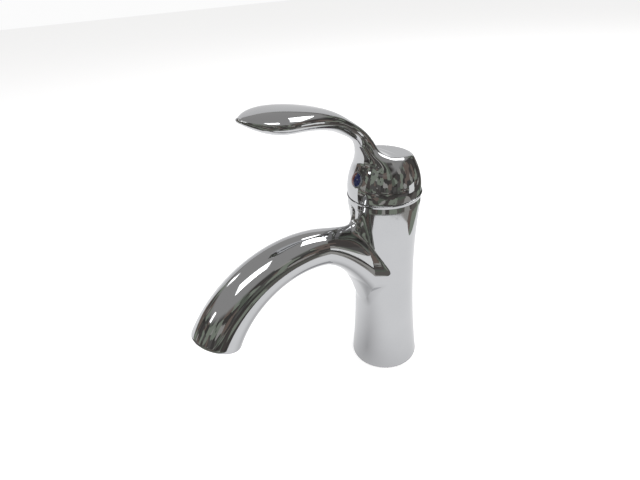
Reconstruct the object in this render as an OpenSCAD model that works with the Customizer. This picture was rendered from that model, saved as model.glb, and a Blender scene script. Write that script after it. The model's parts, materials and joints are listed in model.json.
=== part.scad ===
// Single-lever basin mixer tap, 35 mm ceramic cartridge, with its spout cast in one piece with the column.
// Millimetres. Origin: centre of the base ring on the deck. +Z up, spout and lever point to -Y,
// cold side +X, hot side -X.

/* [Body] */
// Height of the column's top rim above the deck
body_h = 124; // [122:0.5:126]
// Radius of the column at the deck
base_r = 22.8; // [22:0.1:24]
// Radius of the column at its waist
waist_r = 19.1; // [19:0.1:20]
// Height of the waist
waist_z = 75; // [65:1:85]
// Radius of the column at its top rim
top_r = 22.3; // [22.2:0.1:22.6]

/* [Spout] */
// Radius of the arc that the spout's centre line follows
arc_r = 64; // [62:0.5:66]
// Distance of the arc's centre in front of the column axis
arc_y = 63; // [61:0.5:65]
// Height of the arc's centre
arc_z = 43.5; // [42:0.5:45]
// Angle along the arc where the outlet face is
arc_end = 150; // [146:1:152]
// Tube radius where the spout leaves the column
tube_r = 10.7; // [10.4:0.1:11.5]
// Tube radius at the outlet
outlet_r = 13.8; // [13.8:0.1:14.5]

/* [Handle] */
// Height of the lift pivot, which is the centre of the hub's ball
pivot_z = 131; // [130.5:0.1:131.5]
// Radius of the hub's skirt
hub_r = 21.9; // [21.7:0.1:22.1]
// Lift of the lever from closed to full flow, in degrees
lift = 18; // [12:1:18]
// Height of the hub's flat top on the column axis
top_z = 150.4; // [150:0.1:151]
// Slope of the hub's top down to the rear, in degrees
top_slope = 7.5; // [4:0.5:10]
// Radius of the domed colour button
button_r = 4; // [3.5:0.1:4.2]
// Height of the button above the pivot, in degrees
button_tilt = 21; // [19:1:26]

/* [Cartridge] */
// Outside radius of the cartridge housing
cart_r = 17.3; // [17.2:0.05:17.4]
// Height of the chamber floor
floor_z = 94; // [93.8:0.1:94.2]

/* [Hidden] */
$fn = 96;
eps = 0.01;
fit = 0.05;                      // gap between pieces of one assembly
clear = 0.3;                     // gap between pieces that move past each other
lean = lift / 2;                 // the stem leans this far forward when the tap is closed
hollow_r = 16.5;                 // the hollow foot that takes the hoses
hollow_h = 70;
inlet = [8.5, -2];               // hose sockets, either side of the column axis
stud_y = 11.5;                   // fixing stud, behind the sockets
inlet_r = 4.5;                   // bore of an M10x1 hose thread
inlet_len = 10;
stud_r = 3.4;                    // bore of an M8 stud thread
stud_len = 15;
water_r = 6;                     // waterway inside the spout
chamber_r = cart_r + 0.2;
thread_r = 18.6;                 // thread in the body for the retaining nut
ball_r = hub_r + 0.5;            // the ball that the hub's lower edge is turned to
cup_r = ball_r + clear;
shoulder_z = body_h - 3;         // the column's top is drawn in above this height
shoulder_in = 0.45;
rim_cut = 9.45;                  // the hub's opening, this far below the pivot along the stem
gasket_r = [18.4, 21.4];
gasket_h = 1.5;
// heights of the cartridge's pieces
base_top = floor_z + 3.4;
disc_top = base_top + 3;
slider_top = disc_top + 2.6;
carrier_top = slider_top + 6.4;
cavity_top = floor_z + 17.3;
flange_z = floor_z + 19.5;
neck_top = pivot_z + 2.5;
neck_r = 12.6;
guide_r = 10;
cavity_r = 14.5;
pin_r = 1.5;
stem_w = 7;                      // square stem that the handle sits on
stem_top = 17;
knuckle_r = 2.7;                 // ball on the spindle's lower end
knuckle_floor = 1.1;             // plastic under the knuckle's socket
arm = pivot_z - (slider_top + knuckle_floor + clear + knuckle_r);   // from the pivot down to the knuckle
slide_rest = arm * sin(lean);    // the slider's place when the tap is closed
stem_play = 0.1;                 // gap between the stem and its socket
screw_z = ball_r * sin(button_tilt + lean);   // set screw's height on the stem, behind the button
screw_r = 2.5;
recess_r = 11.7;                 // aerator seat
recess_h = 8.6;
housing_h = 6;
insert_r = 9.7;                  // the pieces inside the aerator housing
jet_r = 0.9;                     // holes of the aerator's screen
outlet_y = 9.5;                  // the cartridge's outlet port, in front of the axis
port_r = 3.2;
port_seal_r = 4.3;
drill_r = 4.5;                   // slanted drilling from the spout up to the outlet port
drill_slope = 43;
skirt_h = -2;                    // the hub's wall is upright to this height over the pivot, then tapers
taper = 0.0153;                  // the hub draws in by this times the height squared
dome_h = 1.5;                    // the colour button's domed top
dome_r = (button_r * button_r + dome_h * dome_h) / (2 * dome_h);
seat_h = 1.6;                    // depth of the button's seat
wall = 2.2;                      // the hub's wall
boss_r = 7.5;                    // boss round the stem's socket
tunnel_r = 4.4;                  // wall round the set screw, out to the front
guide_slot = [8.6, 12.6];        // the slot that the spindle tilts in
nut_h = 3.6;
cap_r = top_r - shoulder_in;
cap_h = 2.9;                     // the cap ring's height behind the hub, and in front of it
cap_front = 1.3;
cap_flare = 0.8;                 // the cap ring stands out this much at its top edge
cap_slope = atan((cap_h - cap_front) / (2 * top_r));
nut_hex_r = 15;

chrome = [0.80, 0.81, 0.83];
brass = [0.78, 0.64, 0.36];
plastic = [0.90, 0.90, 0.88];
grey = [0.45, 0.46, 0.48];
rubber = [0.08, 0.08, 0.09];
ceramic = [0.95, 0.94, 0.90];

// Lever: each station is [forward, up, half width, half thickness], from inside the hub to the leaf's tip
lever = [[1, 147.4, 15, 2.8], [-6, 148.6, 13.6, 3.4], [-11.4, 151.8, 10, 4.4], [-14.4, 157.8, 6.6, 4.6],
         [-19, 164.6, 4.8, 3.9], [-28, 171.2, 6.8, 4.2], [-40, 177.4, 11.5, 5], [-56, 181.6, 15.8, 5.6],
         [-69, 183.2, 17.2, 5.6], [-78, 184.6, 12.5, 3.8], [-84.6, 186.2, 3, 1.2]];
lever_steps = 3;                 // rings between two stations
lever_sides = 20;
spout_sides = 40;
root_rings = 18;
arc_rings = 19;
root_a = 72;                     // the arc starts here, at the end of the straight root
root_len = 35;
upright_len = 12;                 // the sections turn upright over this length inside the column
flare_start = 5;                 // the root flares out from here on the arc, over this length
flare_len = 29.4;
flare_below = 21.6;              // and grows this much below, to the sides and above
flare_side = 4.2;
widen_len = 41.4;                // the widening to the sides carries on for this length
flare_above = 2.5;
flare_drop = 8;                  // while its middle drops
flare_egg = 0.65;                // and its section turns from round to an egg, wide end down

// ---------- curves ----------
function near(list, i) = list[min(max(i, 0), len(list) - 1)];
// smooth curve through the stations: i is the station, t runs from 0 to 1 towards the next
function curve(list, i, t) =
    let (a = near(list, i - 1), b = near(list, i), c = near(list, i + 1), d = near(list, i + 2))
    0.5 * (2 * b + (c - a) * t + (2 * a - 5 * b + 4 * c - d) * t * t + (3 * b - a - 3 * c + d) * t * t * t);
function power(v, e) = sign(v) * pow(abs(v), e);

// Skin over rings of equal length, closed at both ends
module skin(rings) {
    n = len(rings[0]);
    m = len(rings);
    points = [for (ring = rings) each ring];
    sides = [for (k = [0:m - 2], i = [0:n - 1]) each
        let (a = k * n + i, b = k * n + (i + 1) % n)
        [[a, b, b + n], [a, b + n, a + n]]];
    polyhedron(points, concat(sides, [[for (i = [n - 1:-1:0]) i]], [[for (i = [0:n - 1]) (m - 1) * n + i]]));
}

// Outline of the column's radius, waisted between foot and rim
function column_r(z) = z < waist_z
    ? waist_r + (base_r - waist_r) * pow((waist_z - z) / waist_z, 2.2)
    : waist_r + (top_r - waist_r) * pow((z - waist_z) / (body_h - waist_z), 1.9)
        - shoulder_in * max(0, z - shoulder_z) / (body_h - shoulder_z);

// ---------- frames ----------
// Stem frame: origin at the lift pivot, +Z up the spindle, which leans forward when the tap is closed
module on_stem() translate([0, 0, pivot_z]) rotate([lean, 0, 0]) children();
// Button frame: origin at the pivot, +Z out through the button
module on_button() translate([0, 0, pivot_z]) rotate([90 - button_tilt, 0, 0]) children();
// Outlet frame: origin at the middle of the outlet face, +Z back up the spout
module on_outlet() translate([0, -arc_y + arc_r * cos(arc_end), arc_z + arc_r * sin(arc_end)])
    rotate([arc_end - 180, 0, 0]) children();
module ring(r_out, r_in, h) difference() {
    cylinder(r = r_out, h = h);
    translate([0, 0, -1]) cylinder(r = r_in, h = h + 2);
}

// ---------- body ----------
module column() rotate_extrude()
    polygon(concat([[0, 0]], [for (k = [0:40]) [column_r(body_h * k / 40), body_h * k / 40]], [[0, body_h]]));

// The spout's centre line is a straight root inside the column and then the arc. The way along it is d:
// below 0 it is millimetres back from the arc's start, above 0 it is degrees round the arc.
function spout_place(d) = let (a = root_a + max(d, 0))
    [-arc_y + arc_r * cos(a) + max(-d, 0) * sin(a), arc_z + arc_r * sin(a) - max(-d, 0) * cos(a)];
function root(d, len = flare_len) = min(1, max(0, flare_start - (d > 0 ? d * arc_r * PI / 180 : d)) / len);
function spout_r(d) = tube_r + (outlet_r - tube_r) * pow(max(0, d) / (arc_end - root_a), 1.3);
// The root's section is an oval that drops and grows towards the column, in planes that turn upright
function spout_ring(d) = [for (i = [0:spout_sides - 1])
    let (u = -360 * i / spout_sides, drop = flare_drop * pow(root(d), 2),
         a = root_a + max(d, 0) + (90 - root_a) * min(1, max(-d, 0) / upright_len),
         below = spout_r(d) + flare_below * pow(root(d), 2) - drop,
         above = spout_r(d) + flare_above * pow(root(d), 2) + drop,
         side = (spout_r(d) + flare_side * pow(root(d, widen_len), 2)) * (1 - flare_egg * root(d) * sin(u)),
         r = ((sin(u) < 0 ? below : above) * sin(u) - drop) / cos(a - root_a - max(d, 0)))
    [side * cos(u), spout_place(d)[0] + r * cos(a), spout_place(d)[1] + r * sin(a)]];
module spout() skin(concat(
    [for (k = [0:root_rings - 1]) spout_ring(-root_len * (1 - k / root_rings))],
    [for (k = [0:arc_rings]) spout_ring((arc_end - root_a) * k / arc_rings)]));

// From the outlet port under the chamber up a slanted drilling and along the spout
module waterway() {
    elbow = spout_place(-10);
    translate([0, -arc_y, arc_z]) rotate([90, 0, 90]) rotate([0, 0, root_a - 1])
        rotate_extrude(angle = arc_end - root_a) translate([arc_r, 0]) circle(r = water_r, $fn = 48);
    translate([0, spout_place(0)[0], spout_place(0)[1]]) rotate([-90 - (90 - root_a), 0, 0])
        translate([0, 0, -1]) cylinder(r = water_r - 0.3, h = 11);
    translate([0, elbow[0], elbow[1]]) sphere(r = water_r);
    translate([0, elbow[0], elbow[1]]) rotate([drill_slope - 180, 0, 0]) cylinder(r = drill_r, h = 29);
    translate([0, -outlet_y, floor_z - 16]) cylinder(r = drill_r - 0.5, h = 17);
}

module body() color(chrome) difference() {
    union() {
        column();
        spout();
    }
    // hollow foot with the gasket's groove
    translate([0, 0, -1]) cylinder(r = hollow_r, h = hollow_h + 1);
    translate([0, 0, -1]) ring(gasket_r[1] + fit, gasket_r[0] - fit, gasket_h + 1 + fit);
    // hose sockets and their ways up to the chamber
    for (side = [-1, 1]) translate([side * inlet[0], inlet[1], hollow_h - 1]) {
        cylinder(r = inlet_r, h = inlet_len + 1);
        cylinder(r = port_r, h = floor_z - hollow_h + 2);
    }
    translate([0, stud_y, hollow_h - 1]) cylinder(r = stud_r, h = stud_len + 1);
    // cartridge chamber, nut thread and the cup that the hub's ball turns in
    translate([0, 0, floor_z]) cylinder(r = chamber_r, h = 40);
    translate([0, 0, flange_z - 0.1]) cylinder(r = thread_r, h = 40);
    translate([0, 0, pivot_z]) sphere(r = cup_r);
    waterway();
    on_outlet() translate([0, 0, -2]) cylinder(r = recess_r, h = recess_h + 2);
}

module base_gasket() color(rubber) ring(gasket_r[1], gasket_r[0], gasket_h);

// Trim ring on the body's rim, higher behind the hub than in front of it
module cap_ring() color(chrome) difference() {
    rotate_extrude($fn = 240)
        polygon([[18, body_h], [cap_r, body_h], [cap_r + cap_flare, body_h + cap_h], [18, body_h + cap_h]]);
    translate([0, 0, pivot_z]) sphere(r = cup_r, $fn = 240);
    translate([-40, -top_r, body_h + cap_front]) rotate([cap_slope, 0, 0])
        translate([0, -20, 0]) cube([80, 80, 20]);
}

module retaining_nut() color(brass) difference() {
    union() {
        translate([0, 0, flange_z + 0.1]) cylinder(r = thread_r - 0.1, h = nut_h);
        translate([0, 0, flange_z + 3]) cylinder(r = nut_hex_r, h = 4, $fn = 6);
    }
    translate([0, 0, flange_z - 1]) cylinder(r = neck_r + fit, h = 12);
}

// ---------- cartridge ----------
module cartridge_housing() color(plastic) difference() {
    union() {
        translate([0, 0, base_top + fit]) cylinder(r = cart_r, h = flange_z - base_top - fit);
        cylinder_up(neck_r, flange_z - 1, neck_top);
    }
    cylinder_up(cavity_r, base_top - 1, cavity_top);
    cylinder_up(guide_r + clear, cavity_top - 1, neck_top + 1);
    translate([0, 0, base_top + 3.5]) ring(cart_r + 1, cart_r - 1.5, 2.6);
}
module cylinder_up(r, z0, z1) translate([0, 0, z0]) cylinder(r = r, h = z1 - z0);

module ports(r, z0, h) {
    for (side = [-1, 1]) translate([side * inlet[0], inlet[1], z0]) cylinder(r = r, h = h);
    translate([0, -outlet_y, z0]) cylinder(r = r, h = h);
}

module cartridge_base() color(grey) difference() {
    cylinder_up(cart_r, floor_z + 0.2, base_top);
    ports(port_r, floor_z - 1, 10);
    ports(port_seal_r + 0.1, floor_z - 1, 2.4);
}

module base_seals() color(rubber) {
    for (place = [[inlet[0], inlet[1]], [-inlet[0], inlet[1]], [0, -outlet_y]])
        translate([place[0], place[1], floor_z + fit]) ring(port_seal_r, port_r + fit, 1.3);
}

module cartridge_o_ring() color(rubber) translate([0, 0, base_top + 4.8]) rotate_extrude()
    translate([cart_r - 0.65, 0]) circle(r = 0.8, $fn = 24);

module fixed_disc() color(ceramic) difference() {
    cylinder_up(cavity_r - 0.5, base_top + fit, disc_top);
    ports(3, base_top - 1, 10);
}

// The slider's two pieces are drawn at their closed place, behind the axis
module moving_disc() color(ceramic) translate([0, slide_rest, 0]) difference() {
    cylinder_up(10.2, disc_top + fit, slider_top);
    translate([0, -2.5, disc_top - 1]) cylinder(r = 5.5, h = 2.6);
}

module disc_carrier() color(grey) translate([0, slide_rest, 0]) difference() {
    cylinder_up(10.2, slider_top + fit, carrier_top);
    cylinder_up(knuckle_r + clear, slider_top + knuckle_floor, carrier_top + 1);
}

module spindle_guide() color(plastic) difference() {
    union() {
        cylinder_up(cavity_r - clear - 0.2, carrier_top + clear, cavity_top - clear);
        cylinder_up(guide_r, carrier_top + clear, neck_top + 1);
    }
    translate([-guide_slot[0] / 2, -guide_slot[1] / 2, carrier_top - 1])
        cube([guide_slot[0], guide_slot[1], 40]);
    translate([-20, 0, pivot_z]) rotate([0, 90, 0]) cylinder(r = pin_r + 0.02, h = 40);
}

module pivot_pin() color("silver") translate([-9.3, 0, pivot_z]) rotate([0, 90, 0])
    cylinder(r = pin_r, h = 18.6);

module spindle() color("silver") on_stem() difference() {
    union() {
        translate([-stem_w / 2, -stem_w / 2, 1]) cube([stem_w, stem_w, stem_top - 1]);
        translate([0, 0, -5]) cylinder(r = 3.8, h = 7);
        translate([0, 0, -arm]) cylinder(r = 2.2, h = arm - 4);
        translate([0, 0, -arm]) sphere(r = knuckle_r);
    }
    translate([-20, 0, 0]) rotate([0, 90, 0]) cylinder(r = pin_r + fit, h = 40);
    // dimple for the set screw's point
    translate([0, -stem_w / 2 + 0.6, screw_z]) rotate([90, 0, 0]) cylinder(r = 1.6, h = 5);
}

// ---------- handle ----------
// Outline of the hub at a height over the pivot: a ball below, an upright skirt, and a taper to the flat top
function hub_outline(up) = min(hub_r, sqrt(ball_r * ball_r - min(up, 0) * min(up, 0)))
    - taper * pow(max(0, up - skirt_h), 2);
module hub_blank() translate([0, 0, pivot_z]) rotate_extrude() polygon(concat(
    [[0, -ball_r]],
    [for (a = [-85:5:-15]) [ball_r * cos(a), ball_r * sin(a)]],
    [for (up = [-4:1:22]) [hub_outline(up), up]],
    [[0, 22]]));

function lever_ring(i, t) =
    let (p = curve(lever, i, t), q = curve(lever, i, t + 0.01), o = curve(lever, i, t - 0.01),
         d = [q[0] - o[0], q[1] - o[1]] / norm([q[0] - o[0], q[1] - o[1]]))
    [for (k = [0:lever_sides - 1])
        let (u = 360 * k / lever_sides, x = p[2] * power(cos(u), 0.85), s = p[3] * power(sin(u), 0.85))
        [x, p[0] - s * d[1], p[1] + s * d[0]]];
module lever_skin() skin([for (i = [0:len(lever) - 2], k = [0:lever_steps - (i < len(lever) - 2 ? 1 : 0)])
    lever_ring(i, k / lever_steps)]);

module handle() color(chrome) difference() {
    union() {
        difference() {
            hub_blank();
            translate([0, 0, top_z]) rotate([-top_slope, 0, 0]) translate([-50, -50, 0]) cube([100, 100, 50]);
            intersection() {
                translate([0, 0, pivot_z]) sphere(r = ball_r - wall);
                translate([-40, -40, 100]) cube([80, 80, 45]);
            }
        }
        lever_skin();
        // boss round the stem, with the set screw's tunnel to the front wall
        on_stem() translate([0, 0, 6.3]) cylinder(r = boss_r, h = 10);
        on_stem() translate([0, -18, screw_z]) rotate([-90, 0, 0]) cylinder(r = tunnel_r, h = 14);
    }
    on_stem() translate([-50, -50, -60 - rim_cut]) cube([100, 100, 60]);
    on_stem() translate([-stem_w / 2 - stem_play, -stem_w / 2 - stem_play, 0])
        cube([stem_w + 2 * stem_play, stem_w + 2 * stem_play, stem_top + 0.4]);
    on_stem() translate([0, -24, screw_z]) rotate([-90, 0, 0]) cylinder(r = screw_r + fit, h = 22);
    on_button() translate([0, 0, ball_r - seat_h]) cylinder(r = button_r + fit, h = 6);
}

module set_screw() color("dimgray") on_stem() translate([0, -11, screw_z]) rotate([-90, 0, 0]) difference() {
    cylinder(r = screw_r, h = 11 - stem_w / 2 - fit);
    translate([0, 0, -1]) cylinder(r = 1.45, h = 4, $fn = 6);
}

module index_plug() color(grey) on_button() cylinder_up(button_r, ball_r - seat_h + 0.1, ball_r);

// Half of the button's dome: side 1 is the cold half, side -1 the hot half
module half_dome(side) on_button() intersection() {
    translate([0, 0, ball_r + dome_h - dome_r]) sphere(r = dome_r);
    translate([side > 0 ? 0 : -10, -10, ball_r]) cube([10, 20, 10]);
}
module cold_mark() color("midnightblue") half_dome(1);
module hot_mark() color("firebrick") half_dome(-1);

// ---------- aerator ----------
module aerator_housing() color(chrome) on_outlet() difference() {
    translate([0, 0, 0.3]) ring(recess_r - 0.1, insert_r + 0.1, housing_h);
    for (a = [45:90:315]) rotate([0, 0, a]) translate([10.9, 0, 0]) cube([1.6, 2.4, 2.6], center = true);
}
module aerator_washer() color(rubber) on_outlet() translate([0, 0, housing_h + 0.35])
    ring(recess_r - 0.2, 8.6, 2);
module aerator_insert() color(plastic) on_outlet() difference() {
    translate([0, 0, 1.75]) cylinder(r = insert_r, h = housing_h - 1.5);
    for (a = [0:30:330]) rotate([0, 0, a]) translate([6.6, 0, 0]) cylinder(r = 1, h = 12, $fn = 24);
}
module aerator_screen() color(grey) on_outlet() difference() {
    translate([0, 0, 0.8]) cylinder(r = insert_r, h = 0.9);
    for (j = [1:3], a = [0:60 / j:359]) rotate([0, 0, a]) translate([2.8 * j, 0, 0])
        cylinder(r = jet_r, h = 6, $fn = 16);
    cylinder(r = jet_r, h = 6, $fn = 16);
}

body();
base_gasket();
cap_ring();
retaining_nut();
cartridge_housing();
cartridge_base();
base_seals();
cartridge_o_ring();
fixed_disc();
moving_disc();
disc_carrier();
spindle_guide();
pivot_pin();
spindle();
handle();
set_screw();
index_plug();
cold_mark();
hot_mark();
aerator_housing();
aerator_washer();
aerator_insert();
aerator_screen();
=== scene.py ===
"""A single-lever basin mixer tap: smooth castings, materials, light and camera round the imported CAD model."""
import json
import math

import bpy
import numpy as np
from mathutils import Matrix, Vector


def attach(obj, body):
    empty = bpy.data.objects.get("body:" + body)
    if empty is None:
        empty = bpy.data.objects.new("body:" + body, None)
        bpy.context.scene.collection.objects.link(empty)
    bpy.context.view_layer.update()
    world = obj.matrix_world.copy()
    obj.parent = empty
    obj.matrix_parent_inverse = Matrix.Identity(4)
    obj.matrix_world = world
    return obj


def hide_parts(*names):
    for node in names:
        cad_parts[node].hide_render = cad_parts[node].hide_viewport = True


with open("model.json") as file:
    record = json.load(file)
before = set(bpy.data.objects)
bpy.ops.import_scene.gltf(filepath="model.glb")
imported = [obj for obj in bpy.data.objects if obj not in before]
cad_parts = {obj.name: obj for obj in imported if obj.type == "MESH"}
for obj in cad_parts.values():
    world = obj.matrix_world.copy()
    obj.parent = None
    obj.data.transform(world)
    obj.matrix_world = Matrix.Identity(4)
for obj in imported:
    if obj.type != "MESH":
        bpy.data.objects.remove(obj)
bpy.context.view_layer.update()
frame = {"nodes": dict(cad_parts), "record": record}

MM = 0.001

# ---------------------------------------------------------------- camera
CAMERA_AT = (0.1821, -0.1615, 0.2378)
CAMERA_TURN = 57.5
CAMERA_DOWN = 30.5
CAMERA_ROLL = -4.6
CAMERA_LENS = 24.75
CAMERA_SHIFT = (-0.0055, -0.0031)


def make_camera():
    data = bpy.data.cameras.new("camera")
    data.sensor_width = 36
    data.lens = CAMERA_LENS
    data.shift_x, data.shift_y = CAMERA_SHIFT
    data.clip_start = 0.01
    camera = bpy.data.objects.new("camera", data)
    bpy.context.collection.objects.link(camera)
    turn = Matrix.Rotation(math.radians(CAMERA_TURN), 4, "Z")
    tilt = Matrix.Rotation(math.radians(90 - CAMERA_DOWN), 4, "X")
    roll = Matrix.Rotation(math.radians(CAMERA_ROLL), 4, "Z")
    camera.matrix_world = Matrix.Translation(CAMERA_AT) @ turn @ tilt @ roll
    bpy.context.scene.camera = camera


# ---------------------------------------------------------------- implicit shapes, in millimetres
# A shape is a function of x, y, z arrays: below 0 inside, above 0 outside, near the distance at the skin.
def join(a, b, k):
    """Union with a fillet of about radius k."""
    h = np.clip(0.5 + 0.5 * (b - a) / k, 0, 1)
    return b + (a - b) * h - k * h * (1 - h)


def meet(a, b, k):
    """Intersection with an edge rounded to about radius k."""
    return -join(-a, -b, k)


def ease(t):
    t = np.clip(t, 0, 1)
    return t * t * (3 - 2 * t)


def turned(x, y, z, radius, slope):
    """A turned shape: radius and its slope are given at each height."""
    return (np.hypot(x, y) - radius) / np.sqrt(1 + slope * slope)


def grid_fields(shape, low, high, step):
    axes = [np.arange(low[i], high[i] + step, step) for i in range(3)]
    x, y, z = np.meshgrid(*axes, indexing="ij", sparse=True)
    value = shape(x, y, z)
    return axes, np.ascontiguousarray(np.broadcast_to(value, [len(a) for a in axes]))


def gradient(shape, points, h=0.02):
    out = np.empty_like(points)
    for i in range(3):
        ahead, behind = points.copy(), points.copy()
        ahead[:, i] += h
        behind[:, i] -= h
        out[:, i] = (shape(*ahead.T) - shape(*behind.T)) / (2 * h)
    return out


def settle(shape, points, limit, rounds=4):
    """Moves points onto the shape's skin."""
    for _ in range(rounds):
        slope = gradient(shape, points)
        size = np.maximum((slope * slope).sum(1), 1e-6)
        move = slope * (shape(*points.T) / size)[:, None]
        length = np.maximum(np.linalg.norm(move, axis=1), 1e-9)
        points = points - move * np.minimum(1, limit / length)[:, None]
    return points


def skin_of(shape, low, high, step):
    """Vertices and quads of the shape's skin, one vertex to each grid cell that the skin crosses."""
    axes, v = grid_fields(shape, low, high, step)
    cells = np.array(v.shape) - 1
    size = int(np.prod(cells))
    total, count = np.zeros((3, size)), np.zeros(size)
    crossings = []
    for axis in range(3):
        a = np.moveaxis(v, axis, 0)
        first, second = a[:-1], a[1:]
        cross = (first < 0) != (second < 0)
        index = np.empty((int(cross.sum()), 3), np.int64)
        index[:, [axis] + [i for i in range(3) if i != axis]] = np.argwhere(cross)
        point = index.astype(float)
        point[:, axis] += first[cross] / (first[cross] - second[cross])
        u, w = [i for i in range(3) if i != axis]
        corners = []
        for du, dw in ((1, 1), (0, 1), (0, 0), (1, 0)):
            cell = index.copy()
            cell[:, u] -= du
            cell[:, w] -= dw
            good = ((cell >= 0) & (cell < cells)).all(1)
            flat = np.ravel_multi_index(tuple(np.clip(cell, 0, cells - 1).T), tuple(cells))
            corners.append(np.where(good, flat, -1))
            for i in range(3):
                total[i] += np.bincount(flat[good], point[good, i], size)
            count += np.bincount(flat[good], minlength=size)
        quad = np.stack(corners, 1)
        outward = (first[cross] < 0) != (axis == 1)
        quad[~outward] = quad[~outward][:, ::-1]
        crossings.append(quad[(quad >= 0).all(1)])
    used = count > 0
    number = np.cumsum(used) - 1
    points = np.array([a[0] for a in axes]) + (total[:, used] / count[used]).T * step
    return points, number[np.concatenate(crossings)]


def even_out(points, quads):
    """Each vertex moves to the middle of its neighbours."""
    ends = np.concatenate([quads, quads[:, ::-1]])
    others = np.roll(ends, -1, axis=1)
    ends, others = ends.ravel(), others.ravel()
    count = np.bincount(ends, minlength=len(points))
    total = [np.bincount(ends, points[others, i], len(points)) for i in range(3)]
    return np.stack(total, 1) / count[:, None]


def cast(name, shape, low, high, step, body, node, material):
    """A smooth casting in place of a CAD node."""
    points, quads = skin_of(shape, low, high, step)
    for _ in range(3):
        points = settle(shape, 0.5 * points + 0.5 * even_out(points, quads), step, 2)
    points = settle(shape, points, step, 2)
    normals = gradient(shape, points)
    normals /= np.linalg.norm(normals, axis=1)[:, None]
    piece = new_piece(name, points * MM, quads.tolist(), material)
    piece.data.normals_split_custom_set_from_vertices(normals.tolist())
    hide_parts(node)
    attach(piece, body)
    return piece


def new_piece(name, points, faces, material):
    mesh = bpy.data.meshes.new(name)
    mesh.from_pydata([tuple(p) for p in points], [], faces)
    mesh.shade_smooth()
    mesh.materials.append(material)
    piece = bpy.data.objects.new(name, mesh)
    bpy.context.collection.objects.link(piece)
    return piece


# ---------------------------------------------------------------- body: column and spout
BODY_H = 124
BASE_R, WAIST_R, RIM_R = 22.8, 19.1, 22.3
WAIST_Z = 75
FOOT_POWER, RIM_POWER = 2.2, 1.9
SHOULDER_Z, SHOULDER_IN = 121, 0.45
# the rim is a turned piece of its own, and the casting tucks in behind it
CAST_TOP, RIM_START = 121.4, 120.7
TUCK_IN, TUCK_LEN = 0.2, 0.6
ARC_R, ARC_Y, ARC_Z = 64, -63, 43.5
ARC_START, ARC_END = math.radians(72), math.radians(150)
TUBE_R, OUTLET_R, TUBE_POWER = 10.7, 13.8, 1.3
FLARE_START, FLARE_LEN, WIDEN_LEN = 48, 28, 40
FLARE_BELOW, FLARE_SIDE, FLARE_ABOVE, FLARE_DROP, EGG = 21.6, 4.2, 2.5, 8, 0.65
PIVOT_Z = 131
HUB_R, BALL_R, CUP_R = 21.9, 22.4, 22.7
HOLLOW_R, HOLLOW_H = 16.5, 70
INLET, INLET_R, INLET_LEN, PORT_R = (8.5, -2), 4.5, 10, 3.2
STUD_Y, STUD_R, STUD_LEN = 11.5, 3.4, 15
CHAMBER_R, CHAMBER_Z = 17.5, 94
THREAD_R, THREAD_Z = 18.6, 113.4
RECESS_R, RECESS_H = 11.7, 8.6


def power_ratio(value, top, exponent):
    return np.clip(value / top, 0, None) ** exponent


def column_profile(z):
    """The column's radius and its slope at a height: waisted, with a shoulder under the rim."""
    below, above = WAIST_Z - z, z - WAIST_Z
    over = np.clip(z - SHOULDER_Z, 0, None) / (BODY_H - SHOULDER_Z)
    foot, rim, upper = BASE_R - WAIST_R, RIM_R - WAIST_R, BODY_H - WAIST_Z
    radius = (WAIST_R + foot * power_ratio(below, WAIST_Z, FOOT_POWER)
              + rim * power_ratio(above, upper, RIM_POWER) - SHOULDER_IN * over)
    slope = (-foot * FOOT_POWER / WAIST_Z * power_ratio(below, WAIST_Z, FOOT_POWER - 1)
             + rim * RIM_POWER / upper * power_ratio(above, upper, RIM_POWER - 1)
             - SHOULDER_IN * (over > 0) / (BODY_H - SHOULDER_Z))
    return radius, slope


def column(x, y, z):
    radius, slope = column_profile(z)
    radius = radius - TUCK_IN * ease((z - RIM_START) / TUCK_LEN)
    return np.maximum(meet(turned(x, y, z, radius, slope), -z, 1.0), z - CAST_TOP)


def spout_line(y, z):
    """How far off the spout's centre line, and how far along it: below 0 on the root, to 1 at the outlet."""
    sin0, cos0 = math.sin(ARC_START), math.cos(ARC_START)
    dy, dz = y - ARC_Y, z - ARC_Z
    back = dy * sin0 - dz * cos0
    root_off = dy * cos0 + dz * sin0 - ARC_R
    angle = np.arctan2(dz, dy) % (2 * math.pi)
    off = np.where(back > 0, root_off, np.hypot(dy, dz) - ARC_R)
    along = np.where(back > 0, -back / ARC_R, (angle - ARC_START) / (ARC_END - ARC_START))
    return off, along


def outlet_depth(y, z):
    """Distance past the outlet's face, and off its middle, in the plane of the spout."""
    dy = y - ARC_Y - ARC_R * math.cos(ARC_END)
    dz = z - ARC_Z - ARC_R * math.sin(ARC_END)
    past = -dy * math.sin(ARC_END) + dz * math.cos(ARC_END)
    off = dy * math.cos(ARC_END) + dz * math.sin(ARC_END)
    return past, off


def oval(x, off, wide, tall, egg):
    """Distance off an oval's skin, near enough. An egg above 0 makes it narrow at the top, wide below."""
    up = off / tall
    width = wide * (1 - egg * np.clip(up, -1, 1))
    across = x / width
    q = np.sqrt(across ** 2 + up ** 2)
    slope = np.hypot(across / width, (across ** 2 * egg * wide / width + up) / tall) / np.maximum(q, 1e-6)
    return (q - 1) / np.maximum(slope, 0.02)


def spout(x, y, z):
    """A round tube whose root flares out to the column, most of all below."""
    off, along = spout_line(y, z)
    radius = TUBE_R + (OUTLET_R - TUBE_R) * np.clip(along, 0, 1) ** TUBE_POWER
    root = np.clip((y + FLARE_START) / FLARE_LEN, 0, 1)
    widen = np.clip((y + FLARE_START) / WIDEN_LEN, 0, 1)
    drop = FLARE_DROP * root ** 2
    below = radius + FLARE_BELOW * root ** 2 - drop
    above = radius + FLARE_ABOVE * root ** 2 + drop
    off = off + drop
    past, _ = outlet_depth(y, z)
    tube = meet(oval(x, off, radius + FLARE_SIDE * widen ** 2, np.where(off < 0, below, above), EGG * root),
                past, 2.2)
    return np.maximum(tube, y + 4)


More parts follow.
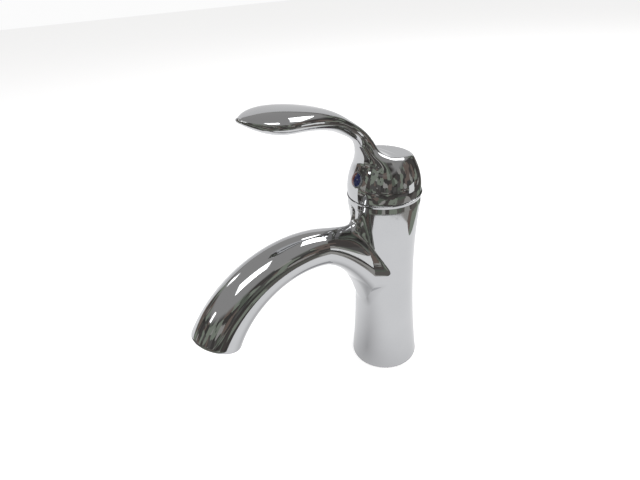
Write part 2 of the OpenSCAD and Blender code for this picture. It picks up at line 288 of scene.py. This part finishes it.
def root_fillet(x, y, z):
    """The spout's fillet radius: wide over the spout and under it, small at its sides."""
    off, _ = spout_line(y, z)
    over = 9 * ease((off + 1) / 11) * ease((11 - np.abs(x)) / 8)
    under = 12 * ease((-off - 15) / 10) * ease((15 - np.abs(x)) / 10)
    return 1 + ease((-y - 3) / 12) * (over + under)


def body_shape(x, y, z):
    shape = join(column(x, y, z), spout(x, y, z), root_fillet(x, y, z))
    r = np.hypot(x, y)
    foot = np.maximum(r - HOLLOW_R, z - HOLLOW_H)
    for side in (-1, 1):
        off_axis = np.hypot(x - side * INLET[0], y - INLET[1])
        foot = np.minimum(foot, np.maximum(off_axis - INLET_R, z - HOLLOW_H - INLET_LEN))
        foot = np.minimum(foot, np.maximum(off_axis - PORT_R, z - CHAMBER_Z - 1))
    foot = np.minimum(foot, np.maximum(np.hypot(x, y - STUD_Y) - STUD_R, z - HOLLOW_H - STUD_LEN))
    chamber = np.minimum(np.maximum(r - CHAMBER_R, CHAMBER_Z - z), np.maximum(r - THREAD_R, THREAD_Z - z))
    cup = np.sqrt(r * r + (z - PIVOT_Z) ** 2) - CUP_R
    past, off_outlet = outlet_depth(y, z)
    recess = np.maximum(np.hypot(x, off_outlet) - RECESS_R, -past - RECESS_H)
    shape = meet(shape, -foot, 0.8)
    shape = meet(shape, -np.minimum(chamber, cup), 0.3)
    return meet(shape, -recess, 0.8)


# ---------------------------------------------------------------- rings turned round the column axis
def turned_ring(name, profile, body, nodes, material, sides=256):
    """A closed ring: profile gives its section as [radius, height] points, in order, at each angle."""
    rings = [profile(2 * math.pi * i / sides) for i in range(sides)]
    count = len(rings[0])
    points = [(r * math.cos(2 * math.pi * i / sides) * MM, r * math.sin(2 * math.pi * i / sides) * MM, z * MM)
              for i, ring in enumerate(rings) for r, z in ring]
    faces = [(i * count + k, (i + 1) % sides * count + k, (i + 1) % sides * count + (k + 1) % count,
              i * count + (k + 1) % count) for i in range(sides) for k in range(count)]
    piece = new_piece(name, points, faces, material)
    piece.data.set_sharp_from_angle(angle=math.radians(38))
    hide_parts(*nodes)
    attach(piece, body)
    return piece


def cup_radius(z):
    return math.sqrt(CUP_R ** 2 - (PIVOT_Z - z) ** 2)


def rim_section(angle):
    """The casting's thin rim, outside up and inside down."""
    heights = np.linspace(RIM_START, BODY_H, 24)
    outer = [(float(column_profile(z)[0]), float(z)) for z in heights]
    inner = [(cup_radius(z), float(z)) for z in heights[::-1]]
    return outer + inner


CAP_FRONT, CAP_REAR, CAP_LIP = 125.3, 126.9, 22.55
CAP_FLARE, CAP_GAP, CAP_ROLL = 0.8, 0.05, 0.3


def cap_section(angle):
    """The cap ring: slanted, higher behind the hub, with a rolled top edge."""
    top = (CAP_FRONT + CAP_REAR) / 2 + (CAP_REAR - CAP_FRONT) / 2 * math.sin(angle)
    low, roll = BODY_H + CAP_GAP, CAP_ROLL
    flare = CAP_FLARE * (top - low) / (CAP_REAR - BODY_H)
    outside = RIM_R - SHOULDER_IN
    section = [(outside + flare * t, low + (top - roll - low) * t) for t in np.linspace(0, 1, 6)]
    middle = (outside + flare - roll, top - roll)
    section += [(middle[0] + roll * math.cos(a), middle[1] + roll * math.sin(a))
                for a in np.linspace(0.2, 1.45, 6)]
    lip = CAP_LIP / CUP_R
    return section + [(cup_radius(z) * lip, z) for z in np.linspace(top - 0.1, low, 7)]


# ---------------------------------------------------------------- handle: ball hub, flat top, neck and leaf
LEAN = math.radians(9)
TOP_Z, TOP_SLOPE = 150.4, math.radians(7.5)
BUTTON_TILT = math.radians(21)
BUTTON_R = 4.0
SKIRT_H, TAPER = -2, 0.0153
SCREW_Z = BALL_R * math.sin(BUTTON_TILT + LEAN)
HUB_WALL, HUB_CEILING, OPENING = 2.2, 145, 9.45
BOSS_R, BOSS_LOW = 7.5, 6.3
TUNNEL_R, TUNNEL_LEN = 4.4, 19
SOCKET_HALF, SOCKET_H = 3.6, 17.4
SCREW_R, SCREW_INNER, SCREW_OUTER = 2.55, 2, 24
SEAT_GAP, SEAT_H = 0.05, 1.6
# each station: forward, up, half width, half thickness
LEVER = np.array([
    (1, 147.4, 15, 2.8), (-6, 148.6, 13.6, 3.4), (-11.4, 151.8, 10, 4.4), (-14.4, 157.8, 6.6, 4.6),
    (-19, 164.6, 4.8, 3.9), (-28, 171.2, 6.8, 4.2), (-40, 177.4, 11.5, 5), (-56, 181.6, 15.8, 5.6),
    (-69, 183.2, 17.2, 5.6), (-78, 184.6, 12.5, 3.8), (-84.6, 186.2, 3, 1.2)])


def spline_pieces(stations):
    """Cubic coefficients, highest first, of the smoothest curve through the stations."""
    n = len(stations)
    system = np.diag([1.0] + [4.0] * (n - 2) + [1.0])
    right = np.zeros_like(stations, dtype=float)
    for i in range(1, n - 1):
        system[i, i - 1] = system[i, i + 1] = 1
        right[i] = 6 * (stations[i - 1] - 2 * stations[i] + stations[i + 1])
    bend = np.linalg.solve(system, right)
    step = np.diff(stations, axis=0)
    slope = step - (2 * bend[:-1] + bend[1:]) / 6
    return np.stack([np.diff(bend, axis=0) / 6, bend[:-1] / 2, slope, stations[:-1]])


LEVER_PIECES = spline_pieces(LEVER)
GUESS_LOW, GUESS_STEP, GUESS_SIZE = np.array([-125.0, 105.0]), 1.0, (170, 110)


def on_lever(u, columns=slice(0, 4)):
    """The lever's line at u stations from its start: values, and their first and second derivatives."""
    i = np.clip(u.astype(int), 0, len(LEVER) - 2)
    t = (u - i)[..., None]
    a, b, c, d = [LEVER_PIECES[k][i][..., columns] for k in range(4)]
    return ((a * t + b) * t + c) * t + d, (3 * a * t + 2 * b) * t + c, 6 * a * t + 2 * b


def first_guesses():
    """The nearest place on the lever's line for a coarse grid of points in its plane."""
    y, z = [GUESS_LOW[k] + GUESS_STEP * np.arange(GUESS_SIZE[k]) for k in (0, 1)]
    u = np.linspace(0, len(LEVER) - 1, 12 * (len(LEVER) - 1) + 1)
    line = on_lever(u, slice(0, 2))[0]
    far = (y[:, None, None] - line[:, 0]) ** 2 + (z[None, :, None] - line[:, 1]) ** 2
    return u[far.argmin(2)]


LEVER_GUESS = first_guesses()


def lever_line(y, z):
    """Nearest place on the lever's line: off it, past its end, and the section's half width and thickness."""
    y, z = np.broadcast_arrays(y, z)
    i = np.clip(np.rint((y - GUESS_LOW[0]) / GUESS_STEP).astype(int), 0, LEVER_GUESS.shape[0] - 1)
    j = np.clip(np.rint((z - GUESS_LOW[1]) / GUESS_STEP).astype(int), 0, LEVER_GUESS.shape[1] - 1)
    u = LEVER_GUESS[i, j]
    for _ in range(4):
        place, first, second = on_lever(u, slice(0, 2))
        gap = np.stack([y, z], -1) - place
        slope = (first * first).sum(-1)
        bend = np.maximum(slope - (gap * second).sum(-1), 0.3 * slope)
        u = np.clip(u + np.clip((gap * first).sum(-1) / bend, -0.5, 0.5), 0, len(LEVER) - 1)
    value, first, _ = on_lever(u)
    dy, dz = y - value[..., 0], z - value[..., 1]
    ty, tz = first[..., 0], first[..., 1]
    length = np.hypot(ty, tz)
    return (dy * tz - dz * ty) / length, (dy * ty + dz * tz) / length, value[..., 2], value[..., 3]


def lever(x, y, z):
    """The neck and leaf: a squarish oval section along the lever's line, rounded past its ends."""
    off, past, width, thick = lever_line(y, z)
    p, end = 2.35, 1.2
    total = (np.abs(x / width) ** p + np.abs(off / thick) ** p + np.abs(past / end) ** p) ** (1 / p)
    slope = np.sqrt((np.abs(x) ** (p - 1) / width ** p) ** 2 + (np.abs(off) ** (p - 1) / thick ** p) ** 2
                    + (np.abs(past) ** (p - 1) / end ** p) ** 2)
    slope = slope * np.maximum(total, 1e-3) ** (1 - p)
    return (total - 1) / np.maximum(slope, 1 / 40)


def hub(x, y, z):
    up = z - PIVOT_Z
    t = np.clip(up - SKIRT_H, 0, None)
    ball = np.sqrt(np.clip(BALL_R ** 2 - np.minimum(up, 0) ** 2, 1, None))
    radius = join(ball, HUB_R + 0 * ball, 0.3) - TAPER * t * t
    slope = np.where(ball < HUB_R, -up / ball, -2 * TAPER * t)
    side = turned(x, y, z, radius, slope)
    top = (z - TOP_Z) * math.cos(TOP_SLOPE) + y * math.sin(TOP_SLOPE)
    return meet(side, top, 1.8)


def on_stem(y, z):
    """The stem's frame: it leans forward when the tap is closed."""
    up = z - PIVOT_Z
    return y * math.cos(LEAN) + up * math.sin(LEAN), up * math.cos(LEAN) - y * math.sin(LEAN)


def handle_shape(x, y, z):
    shape = join(hub(x, y, z), lever(x, y, z), 0.6 + 4.6 * ease((-y - 1) / 12))
    v, up = on_stem(y, z)
    inside = np.maximum(np.sqrt(x * x + y * y + (z - PIVOT_Z) ** 2) - (BALL_R - HUB_WALL), z - HUB_CEILING)
    boss = np.maximum(np.hypot(x, v) - BOSS_R, BOSS_LOW - up)
    tunnel = np.maximum(np.hypot(x, up - SCREW_Z) - TUNNEL_R, np.maximum(v, -v - TUNNEL_LEN))
    inside = np.maximum(inside, -np.minimum(boss, tunnel))
    shape = meet(shape, -inside, 0.4)
    socket = np.maximum(np.maximum(np.abs(x), np.abs(v)) - SOCKET_HALF, np.maximum(-up, up - SOCKET_H))
    screw = np.maximum(np.hypot(x, up - SCREW_Z) - SCREW_R,
                       np.maximum(v + SCREW_INNER, -v - SCREW_OUTER))
    radial = -y * math.cos(BUTTON_TILT) + (z - PIVOT_Z) * math.sin(BUTTON_TILT)
    across = y * math.sin(BUTTON_TILT) + (z - PIVOT_Z) * math.cos(BUTTON_TILT)
    seat = np.maximum(np.hypot(x, across) - BUTTON_R - SEAT_GAP, BALL_R - SEAT_H - radial)
    shape = meet(shape, -np.minimum(np.minimum(socket, screw), seat), 0.5)
    return meet(shape, -OPENING - up, 0.6)


# ---------------------------------------------------------------- materials
def new_material(name):
    material = bpy.data.materials.new(name)
    material.use_nodes = True
    nodes = material.node_tree.nodes
    return material, nodes, material.node_tree.links, nodes["Principled BSDF"]


def noise(nodes, links, place, scale, detail=2.0, stretch=(1, 1, 1)):
    """Noise on the object's own coordinates. A stretch under 1 draws it out along that axis."""
    spread = nodes.new("ShaderNodeMapping")
    spread.inputs["Scale"].default_value = stretch
    links.new(place, spread.inputs["Vector"])
    texture = nodes.new("ShaderNodeTexNoise")
    texture.inputs["Scale"].default_value = scale
    texture.inputs["Detail"].default_value = detail
    links.new(spread.outputs["Vector"], texture.inputs["Vector"])
    return texture.outputs["Fac"]


def spread_over(nodes, links, value, low, high, start=0.3, end=0.7):
    between = nodes.new("ShaderNodeMapRange")
    between.inputs["From Min"].default_value = start
    between.inputs["From Max"].default_value = end
    between.inputs["To Min"].default_value = low
    between.inputs["To Max"].default_value = high
    links.new(value, between.inputs["Value"])
    return between.outputs["Result"]


def blend(nodes, links, factor, first, second):
    mix = nodes.new("ShaderNodeMix")
    mix.data_type = "RGBA"
    links.new(factor, mix.inputs["Factor"])
    mix.inputs["A"].default_value = tuple(first) + (1,)
    mix.inputs["B"].default_value = tuple(second) + (1,)
    return mix.outputs["Result"]


def chrome_material():
    """Polished chrome with a thin uneven film of wiped water, a few dried drops and the finest of ripples."""
    material, nodes, links, shader = new_material("chrome")
    shader.inputs["Metallic"].default_value = 1
    place = nodes.new("ShaderNodeTexCoord").outputs["Object"]
    film = noise(nodes, links, place, 45, 5)
    tint = spread_over(nodes, links, film, 0, 1)
    colour = blend(nodes, links, tint, (0.585, 0.59, 0.60), (0.565, 0.57, 0.58))
    links.new(colour, shader.inputs["Base Color"])
    drops = nodes.new("ShaderNodeTexVoronoi")
    drops.inputs["Scale"].default_value = 130
    links.new(place, drops.inputs["Vector"])
    ring = spread_over(nodes, links, drops.outputs["Distance"], 0.035, 0, 0.05, 0.14)
    sum_up = nodes.new("ShaderNodeMath")
    links.new(spread_over(nodes, links, film, 0.025, 0.07, 0.35, 0.75), sum_up.inputs[0])
    links.new(ring, sum_up.inputs[1])
    links.new(sum_up.outputs["Value"], shader.inputs["Roughness"])
    ripple = nodes.new("ShaderNodeBump")
    ripple.inputs["Strength"].default_value = 0.05
    ripple.inputs["Distance"].default_value = 0.0002
    links.new(noise(nodes, links, place, 60), ripple.inputs["Height"])
    links.new(ripple.outputs["Normal"], shader.inputs["Normal"])
    return material


def grained(name, dark, light, rough, metallic=0.0, grain=1500, stretch=(1, 1, 1), depth=0.00003, coat=0.0):
    """A surface whose colour drifts softly, with a fine grain that is drawn out where it was turned."""
    material, nodes, links, shader = new_material(name)
    shader.inputs["Metallic"].default_value = metallic
    shader.inputs["Coat Weight"].default_value = coat
    place = nodes.new("ShaderNodeTexCoord").outputs["Object"]
    cloud = noise(nodes, links, place, 90, 4)
    fine = noise(nodes, links, place, grain, 3, stretch)
    drift = nodes.new("ShaderNodeMath")
    drift.operation = "MULTIPLY_ADD"
    links.new(fine, drift.inputs[0])
    drift.inputs[1].default_value = 0.5
    links.new(spread_over(nodes, links, cloud, 0, 0.5), drift.inputs[2])
    links.new(blend(nodes, links, drift.outputs["Value"], dark, light), shader.inputs["Base Color"])
    links.new(spread_over(nodes, links, fine, rough[0], rough[1]), shader.inputs["Roughness"])
    bump = nodes.new("ShaderNodeBump")
    bump.inputs["Strength"].default_value = 0.6
    bump.inputs["Distance"].default_value = depth
    links.new(fine, bump.inputs["Height"])
    links.new(bump.outputs["Normal"], shader.inputs["Normal"])
    return material


CHROME = chrome_material()
TURNED = (0.06, 0.06, 1)
BRUSHED = (1, 1, 0.05)
SLOT_MATERIALS = {
    "chrome": CHROME,
    "brass": grained("brass", (0.62, 0.44, 0.19), (0.83, 0.66, 0.36), (0.20, 0.34), 1, 4000, TURNED),
    "steel": grained("steel", (0.50, 0.50, 0.51), (0.66, 0.66, 0.67), (0.22, 0.38), 1, 4500, BRUSHED,
                     0.00002),
    "white_plastic": grained("white_plastic", (0.72, 0.71, 0.66), (0.82, 0.82, 0.79), (0.38, 0.52)),
    "grey_plastic": grained("grey_plastic", (0.16, 0.17, 0.18), (0.23, 0.24, 0.25), (0.42, 0.58)),
    "ceramic": grained("ceramic", (0.80, 0.78, 0.72), (0.88, 0.87, 0.83), (0.10, 0.22), 0, 3500, TURNED,
                       0.00001),
    "rubber": grained("rubber", (0.014, 0.014, 0.015), (0.035, 0.034, 0.034), (0.55, 0.80), 0, 1200,
                      depth=0.00006),
    "cold_blue": grained("cold_blue", (0.010, 0.013, 0.055), (0.018, 0.024, 0.10), (0.12, 0.22), 0, 700,
                         coat=0.5),
    "hot_red": grained("hot_red", (0.11, 0.022, 0.014), (0.20, 0.045, 0.03), (0.12, 0.22), 0, 700,
                       coat=0.5),
}


def dress_nodes():
    """Gives each CAD node the material that its slot names."""
    slots = {part["node"]: part["material_slot"] for part in frame["record"]["subparts"]}
    for name, piece in frame["nodes"].items():
        material = SLOT_MATERIALS[slots[name]]
        piece.data.materials.clear()
        piece.data.materials.append(material)


# ---------------------------------------------------------------- stage and light
# Chrome shows its surroundings, so the camera sees a plain pale floor and backdrop, and the reflections see
# a white sheet that the tap stands on, a dim room round it, a grey ceiling and a few bright soft lights.
TAP_MIDDLE = Vector((0, -0.04, 0.12))
CAMERA_ONLY = {"visible_glossy": False, "visible_diffuse": False, "visible_shadow": False,
               "visible_transmission": False, "visible_volume_scatter": False}
MIRROR_ONLY = {"visible_camera": False, "visible_diffuse": False, "visible_shadow": False,
               "visible_transmission": False, "visible_volume_scatter": False}


def stage_piece(name, points, faces, material, seen):
    """Part of the stage. The kinds of ray that can see it are in seen."""
    mesh = bpy.data.meshes.new(name)
    mesh.from_pydata(points, [], faces)
    mesh.materials.append(material)
    piece = bpy.data.objects.new(name, mesh)
    bpy.context.collection.objects.link(piece)
    for key, value in seen.items():
        setattr(piece, key, value)
    return piece


def glow(name, colour, strength=1.0):
    """A material that only shines."""
    material = bpy.data.materials.new(name)
    material.use_nodes = True
    nodes = material.node_tree.nodes
    nodes.remove(nodes["Principled BSDF"])
    light = nodes.new("ShaderNodeEmission")
    light.inputs["Color"].default_value = tuple(colour) + (1,)
    light.inputs["Strength"].default_value = strength
    material.node_tree.links.new(light.outputs["Emission"], nodes["Material Output"].inputs["Surface"])
    return material, nodes, material.node_tree.links, light


def clutter(nodes, links, place, scale, tones):
    """Blocky patches of the given tones, as furniture and people look in a mirror."""
    wobble = nodes.new("ShaderNodeTexNoise")
    wobble.inputs["Scale"].default_value = scale * 0.8
    wobble.inputs["Detail"].default_value = 3
    links.new(place, wobble.inputs["Vector"])
    bend = nodes.new("ShaderNodeVectorMath")
    bend.operation = "MULTIPLY_ADD"
    links.new(wobble.outputs["Color"], bend.inputs[0])
    bend.inputs[1].default_value = (0.5 / scale,) * 3
    links.new(place, bend.inputs[2])
    cells = nodes.new("ShaderNodeTexVoronoi")
    cells.distance = "CHEBYCHEV"
    cells.inputs["Scale"].default_value = scale
    links.new(bend.outputs["Vector"], cells.inputs["Vector"])
    pick = nodes.new("ShaderNodeSeparateColor")
    links.new(cells.outputs["Color"], pick.inputs["Color"])
    ramp = nodes.new("ShaderNodeValToRGB")
    ramp.color_ramp.interpolation = "CONSTANT"
    stops = ramp.color_ramp.elements
    stops[0].color = tones[0] + (1,)
    stops[1].position = 1 / len(tones)
    stops[1].color = tones[1] + (1,)
    for i in range(2, len(tones)):
        stops.new(i / len(tones)).color = tones[i] + (1,)
    links.new(pick.outputs["Red"], ramp.inputs["Fac"])
    return ramp.outputs["Color"]


ROOM_TONES = [(0.07, 0.066, 0.062), (0.15, 0.14, 0.13), (0.09, 0.08, 0.076), (0.27, 0.30, 0.25),
              (0.12, 0.115, 0.11), (0.05, 0.046, 0.043), (0.20, 0.16, 0.14), (0.08, 0.078, 0.075),
              (0.14, 0.16, 0.13), (0.40, 0.39, 0.37)]
CEILING = (0.37, 0.365, 0.36)


def make_room():
    """A dim room with a grey ceiling, which only the reflections show."""
    world = bpy.data.worlds.new("room")
    bpy.context.scene.world = world
    world.use_nodes = True
    nodes, links = world.node_tree.nodes, world.node_tree.links
    place = nodes.new("ShaderNodeTexCoord").outputs["Generated"]
    patches = clutter(nodes, links, place, 6, ROOM_TONES)
    height = nodes.new("ShaderNodeSeparateXYZ")
    links.new(place, height.inputs["Vector"])
    rise = nodes.new("ShaderNodeMapRange")
    rise.interpolation_type = "SMOOTHSTEP"
    rise.inputs["From Min"].default_value = 0.36
    rise.inputs["From Max"].default_value = 0.50
    links.new(height.outputs["Z"], rise.inputs["Value"])
    mix = nodes.new("ShaderNodeMix")
    mix.data_type = "RGBA"
    links.new(rise.outputs["Result"], mix.inputs["Factor"])
    links.new(patches, mix.inputs["A"])
    mix.inputs["B"].default_value = CEILING + (1,)
    links.new(mix.outputs["Result"], nodes["Background"].inputs["Color"])


STAGE_HALF, STAGE_LOW, STAGE_HIGH = 6.0, -0.01, 5.0


def flat_square(half, z=0):
    return [(-half, -half, z), (half, -half, z), (half, half, z), (-half, half, z)]


def make_stage():
    """The pale floor and backdrop that the camera sees."""
    material, _, _, shader = new_material("pale_floor")
    shader.inputs["Base Color"].default_value = (0.80, 0.80, 0.81, 1)
    shader.inputs["Roughness"].default_value = 0.9
    shader.inputs["Specular IOR Level"].default_value = 0
    shader.inputs["Emission Color"].default_value = (1, 1, 1, 1)
    shader.inputs["Emission Strength"].default_value = 0.62
    stage_piece("floor", flat_square(STAGE_HALF), [(0, 1, 2, 3)], material, {"visible_glossy": False})
    pale = glow("pale_backdrop", (0.97, 0.97, 0.97))[0]
    points = flat_square(STAGE_HALF, STAGE_LOW) + flat_square(STAGE_HALF, STAGE_HIGH)
    walls = [(i, (i + 1) % 4, 4 + (i + 1) % 4, 4 + i) for i in range(4)]
    stage_piece("backdrop", points, walls + [(4, 5, 6, 7)], pale, CAMERA_ONLY)


# the white sheet: its corners in front and at the right, and the round near edge between them, in metres
SHEET_FRONT, SHEET_RIGHT, SHEET_R = (-0.42, -0.62), (0.088, 0.128), 0.150
SHEET_LIFT, SHEET_BACK, SHEET_TALL, SHEET_REACH = 0.0005, 150, 0.72, 1.1
SHEET_SIDES = 142, 185
TABLE_HALF = 0.9


def heading(degrees):
    return Vector((math.cos(math.radians(degrees)), math.sin(math.radians(degrees))))


def sheet_outline():
    """The sheet's corners and round near edge, then the two ends of its far edge."""
    outline = [Vector(SHEET_FRONT)]
    for bearing in range(-132, 46, 6):
        growth = 0.0115 * ease((bearing + 84) / 16) + 0.004 * ease((bearing + 20) / 40)
        outline.append((SHEET_R + float(growth)) * heading(bearing))
    outline.append(Vector(SHEET_RIGHT))
    away = heading(SHEET_BACK)
    for start, side in ((outline[-1], SHEET_SIDES[0]), (outline[0], SHEET_SIDES[1])):
        along = heading(side)
        outline.append(start + along * (SHEET_REACH - start.dot(away)) / along.dot(away))
    return outline


def sheet_material():
    """A white glow that fades up the sheet's wall, with a painted shadow: the glow is dimmed round the tap's
    foot.
    """
    material, nodes, links, light = glow("sheet_white_painted_shadow", (0.97, 0.97, 0.98))
    height = nodes.new("ShaderNodeSeparateXYZ")
    links.new(nodes.new("ShaderNodeTexCoord").outputs["Object"], height.inputs["Vector"])
    fade = nodes.new("ShaderNodeMapRange")
    fade.inputs["From Max"].default_value = 0.25
    fade.inputs["To Min"].default_value = 1.0
    fade.inputs["To Max"].default_value = 0.7
    links.new(height.outputs["Z"], fade.inputs["Value"])
    # painted shadow: a soft darker patch in the sheet's glow under the tap, standing in for the tap's shadow on
    # the sheet
    painted_shadow_place = nodes.new("ShaderNodeMapping")
    painted_shadow_place.vector_type = "TEXTURE"
    painted_shadow_place.inputs["Location"].default_value = (0, -0.04, 0)
    painted_shadow_place.inputs["Scale"].default_value = (0.075, 0.12, 1)
    links.new(nodes["Texture Coordinate"].outputs["Object"], painted_shadow_place.inputs["Vector"])
    painted_shadow = nodes.new("ShaderNodeTexGradient")
    painted_shadow.gradient_type = "QUADRATIC_SPHERE"
    links.new(painted_shadow_place.outputs["Vector"], painted_shadow.inputs["Vector"])
    dim = nodes.new("ShaderNodeMath")
    dim.operation = "MULTIPLY_ADD"
    links.new(painted_shadow.outputs["Fac"], dim.inputs[0])
    dim.inputs[1].default_value = -0.45
    dim.inputs[2].default_value = 1
    strength = nodes.new("ShaderNodeMath")
    strength.operation = "MULTIPLY"
    links.new(fade.outputs["Result"], strength.inputs[0])
    links.new(dim.outputs["Value"], strength.inputs[1])
    links.new(strength.outputs["Value"], light.inputs["Strength"])
    return material


def make_mirrored_table():
    """What the tap's lower faces reflect: a white sheet that curls up behind the tap, on a darker table."""
    outline = sheet_outline()
    count = len(outline)
    right, left = outline[-2] - 0.5 * heading(SHEET_BACK).orthogonal(), outline[-1]
    wall = [(left, SHEET_LIFT), (right, SHEET_LIFT), (right, SHEET_TALL), (left, SHEET_TALL)]
    points = [(p.x, p.y, SHEET_LIFT) for p in outline] + [(p.x, p.y, z) for p, z in wall]
    faces = [tuple(range(count)), tuple(range(count, count + 4))]
    stage_piece("mirrored_sheet", points, faces, sheet_material(), MIRROR_ONLY)
    material, nodes, links, light = glow("table_dark", (0.1, 0.1, 0.1))
    place = nodes.new("ShaderNodeTexCoord").outputs["Object"]
    links.new(clutter(nodes, links, place, 8, ROOM_TONES), light.inputs["Color"])
    stage_piece("mirrored_table", flat_square(TABLE_HALF), [(0, 1, 2, 3)], material, MIRROR_ONLY)


def soft_card(name, turn, rise, distance, width, height, strength, roll=0.0):
    """A bright rectangle that faces the tap, at a bearing and a height in degrees."""
    turn, rise = math.radians(turn), math.radians(rise)
    way = Vector((math.cos(rise) * math.cos(turn), math.cos(rise) * math.sin(turn), math.sin(rise)))
    side = way.cross(Vector((0, 0, 1))).normalized()
    up = side.cross(way)
    spin = Matrix.Rotation(math.radians(roll), 3, way)
    side, up = spin @ side * width / 2, spin @ up * height / 2
    middle = TAP_MIDDLE + way * distance
    points = [middle - side - up, middle + side - up, middle + side + up, middle - side + up]
    stage_piece(name, [tuple(p) for p in points], [(0, 1, 2, 3)], glow(name, (1, 1, 1), strength)[0],
                {"visible_camera": False, "visible_shadow": False})


def make_light():
    """Soft lights overhead, two windows, and a pale box on the table at the right."""
    soft_card("ceiling_light_front", 318, 60, 1.6, 0.95, 0.55, 4.0, 25)
    soft_card("ceiling_light_rear", 85, 50, 1.6, 1.1, 0.7, 4.0, 0)
    soft_card("pale_box", 51, -10, 0.44, 0.15, 0.09, 1.0)
    soft_card("window_front", 266, 26, 1.6, 0.20, 0.22, 3.5)
    soft_card("window_left", 213, 37, 1.6, 0.22, 0.30, 3.0)


bpy.context.scene.view_settings.view_transform = "Standard"
make_camera()
GRID = 0.75
cast("tap_casting", body_shape, (-24, -133, -1.5), (24, 24, 126), GRID, "tap_body", "body", CHROME)
turned_ring("tap_casting_rim", rim_section, "tap_body", ["body"], CHROME)
turned_ring("cap_ring_trim", cap_section, "tap_body", ["cap_ring"], CHROME)
cast("lever_casting", handle_shape, (-24, -90, 116), (24, 24, 190.5), GRID, "lever", "handle",
     CHROME)
dress_nodes()
make_room()
make_stage()
make_mirrored_table()
make_light()
